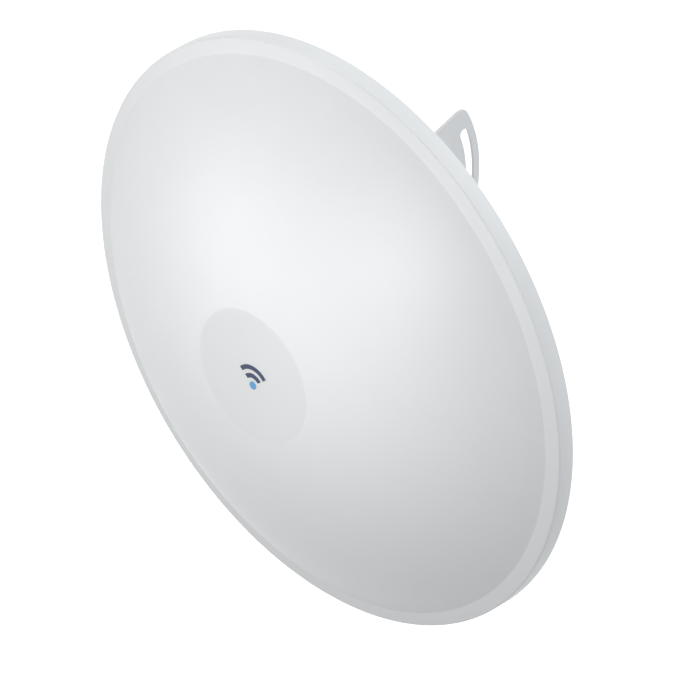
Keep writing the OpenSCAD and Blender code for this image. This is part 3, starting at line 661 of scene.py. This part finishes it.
def around_axis(y, radius, angle):
    """A point about the dish's axis: y in the frame, radius in mm, angle in degrees."""
    turn = math.radians(angle)
    spoke = Vector((math.cos(turn), 0, math.sin(turn)))
    return Vector((rim_centre.x, y, rim_centre.z)) + spoke * radius * MM


def make_hub_fasteners():
    """The four carriage bolts and nuts that hold the dish bracket to the hub."""
    lo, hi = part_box("bracket_bolts")
    head = 2.6
    head_r = 7
    washer_t = 1
    circle_r = math.sqrt(2) * ((hi.x - lo.x) / 2 / MM - head_r + 0.3)
    nut_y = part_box("bracket_nuts")[0].y
    bolts, nuts = Build(), Build()
    for angle in (45, 135, 225, 315):
        seat = around_axis(lo.y + head * MM, circle_r, angle)
        carriage_bolt(bolts, seat, BACKWARDS, M6_R, head_r, head, 4, (hi.y - seat.y) / MM, 1)
        place = around_axis(nut_y, circle_r, angle)
        washer(nuts, place, BACKWARDS, M6_R + 0.06, 6.5, washer_t)
        nut_seat = place + BACKWARDS * washer_t * MM
        nut(nuts, nut_seat, BACKWARDS, M6_R + BORE_GAP, M6_ACROSS, 5)
    bolts.piece("bracket_carriage_bolts", "bracket_bolts")
    nuts.piece("bracket_hex_nuts", "bracket_nuts")


def make_screws():
    """Pan-head screws: their node, angles, direction, size, and the circle they stand on."""
    eighths = [45 * i for i in range(8)]
    for node, angles, circle_r, forward, size in (
        ("radome_screws", eighths, SCREW_CIRCLE, True, M4_PAN),
        ("housing_screws", (30, 150, 210, 330), 38, False, M4_PAN),
        ("board_screws", (60, 120, 240, 300), 36, True, M3_PAN),
        ("cover_screws", (45, 135, 225, 315), 39.5, True, M3_PAN),
        ("sub_reflector_screw", (0,), 0, False, M4_PAN),
    ):
        lo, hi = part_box(node)
        axis = -BACKWARDS if forward else BACKWARDS
        seat_y = hi.y - size["head"] * MM if forward else lo.y + size["head"] * MM
        length = (hi.y - lo.y) / MM - size["head"]
        work = Build()
        for angle in angles:
            pan_screw(work, around_axis(seat_y, circle_r, angle), axis, length=length, **size)
        work.piece(node.replace("screw", "pan_screw"), node)


def make_ground_screw():
    lo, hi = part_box("ground_screw")
    middle = (lo + hi) / 2
    washer_t = 1
    seat = Vector((middle.x, hi.y - M4_PAN["head"] * MM, middle.z))
    work = Build()
    washer(work, seat - BACKWARDS * washer_t * MM, BACKWARDS, M4_R + 0.06, 5.5, washer_t)
    pan_screw(work, seat, -BACKWARDS, length=(seat.y - lo.y) / MM, **M4_PAN)
    work.piece("ground_pan_screw", "ground_screw")


# ---- CAD nodes that keep their own shape ----

# The width in mm of each node's edge rounding
EDGES = {
    "dish_bracket": 0.45, "pole_bracket": 0.45, "clamp_jaw": 0.45,
    "rear_housing": 0.3, "rear_cover": 0.3, "port_door": 0.35,
    "vent_plug": 0.25, "feed_tube": 0.3, "feed_cone": 0.4, "sub_reflector": 0.3,
    "waveguide_transition": 0.3, "reset_button": 0.2, "badge_arcs": 0.12, "badge_dot": 0.12,
    "shield_can": 0.15, "thermal_pad": 0.3, "ethernet_jack": 0.15, "reset_switch": 0.15,
    "door_pin": 0.15, "radio_board": 0.12, "friction_washers": 0.08, "led_light_pipes": 0.2,
    "cover_seal": 0.1,
}

# Joining this node's flat triangles left a dark strip between its two bolt holes
TRIANGLES_KEPT = "clamp_jaw"


def soften(node, width):
    """Joins flat faces, rounds the edges and evens the shading, all as modifiers."""
    obj = nodes[node]
    weld = obj.modifiers.new("weld", "WELD")
    weld.merge_threshold = 2e-6
    if node != TRIANGLES_KEPT:
        flats = obj.modifiers.new("flats", "DECIMATE")
        flats.decimate_type = "DISSOLVE"
        flats.angle_limit = math.radians(0.4)
    edges = obj.modifiers.new("edges", "BEVEL")
    edges.width = width * MM
    edges.segments = 3
    edges.limit_method = "ANGLE"
    edges.angle_limit = math.radians(38)
    edges.harden_normals = True
    edges.miter_outer = "MITER_ARC"
    shade = obj.modifiers.new("shade", "WEIGHTED_NORMAL")
    shade.keep_sharp = True
    obj.data.polygons.foreach_set("use_smooth", [True] * len(obj.data.polygons))


def dress_nodes():
    for node, obj in nodes.items():
        for holder in obj.material_slots:
            holder.material = materials[holder.material.name]
    for node, width in EDGES.items():
        soften(node, width)


# ---- Floor and light ----

def add_area(name, place, aim, size, power):
    """A round soft light that points at aim and that the camera doesn't see."""
    data = bpy.data.lights.new(name, "AREA")
    data.shape = "DISK"
    data.size = size
    data.energy = power
    light = bpy.data.objects.new(name, data)
    light.location = place
    light.rotation_euler = (aim - place).to_track_quat("-Z", "Y").to_euler()
    light.visible_camera = False
    bpy.context.scene.collection.objects.link(light)


def add_stage():
    """A pale floor well below the bridge, which hangs on its pole."""
    floor_drop = 0.75
    floor_size = 300
    low = min(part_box(node)[0].z for node in nodes)
    bpy.ops.mesh.primitive_plane_add(size=floor_size, location=(0, 0, low - floor_drop))
    floor = bpy.context.object
    floor.name = "floor"
    material = bpy.data.materials.new("floor_white")
    material.use_nodes = True
    tree = material.node_tree
    shader = tree.nodes["Principled BSDF"]
    tree.links.new(span(tree, noise(tree, 0.6), 0.93, 0.96), shader.inputs["Base Color"])
    shader.inputs["Roughness"].default_value = 0.8
    shader.inputs["Emission Color"].default_value = (1, 1, 1, 1)
    shader.inputs["Emission Strength"].default_value = 0.8
    floor.data.materials.append(material)
    floor.visible_diffuse = False


def add_world():
    """A pale sky, brighter behind, above and to the right. The camera sees plain white."""
    brightest = (0.5, 0.433, 0.75)
    world = bpy.data.worlds.new("studio")
    world.use_nodes = True
    tree = world.node_tree
    sky = tree.nodes["Background"]
    sky.inputs["Color"].default_value = (0.955, 0.98, 1.0, 1)
    coords = add_node(tree, "ShaderNodeTexCoord")
    side = add_node(tree, "ShaderNodeVectorMath", operation="DOT_PRODUCT")
    side.inputs[1].default_value = brightest
    tree.links.new(coords.outputs["Generated"], side.inputs[0])
    level = add_node(tree, "ShaderNodeMapRange")
    level.inputs["To Min"].default_value = 0.27
    level.inputs["To Max"].default_value = 0.80
    tree.links.new(side.outputs["Value"], level.inputs["Value"])
    ray = add_node(tree, "ShaderNodeLightPath")
    seen = add_node(tree, "ShaderNodeMix")
    seen.inputs["B"].default_value = 1.0
    tree.links.new(ray.outputs["Is Camera Ray"], seen.inputs["Factor"])
    tree.links.new(level.outputs["Result"], seen.inputs["A"])
    tree.links.new(seen.outputs["Result"], sky.inputs["Strength"])
    bpy.context.scene.world = world


def add_lights():
    """Three soft lights on the dome and one behind. Their power is in watts."""
    apex = rim_centre - BACKWARDS * rise * MM
    add_area("key", apex + Vector((0.12, -0.43, 0.215)), apex, 0.3, 1.2)
    add_area("left", apex + Vector((-0.613, -0.514, 0)), apex, 0.45, 1.25)
    add_area("upper_left", apex + Vector((-0.394, 0.069, 0.693)), apex, 0.45, 1.0)
    add_area("rear", rim_centre + Vector((0.9, 1.6, 1.6)), rim_centre, 1.6, 15)
    bpy.context.scene.view_settings.view_transform = "Standard"


add_camera()
materials = make_materials()
make_radome()
make_gasket()
make_reflector()
make_tilt_fasteners()
make_clamp_fasteners()
make_hub_fasteners()
make_screws()
make_ground_screw()
dress_nodes()
add_stage()
add_world()
add_lights()
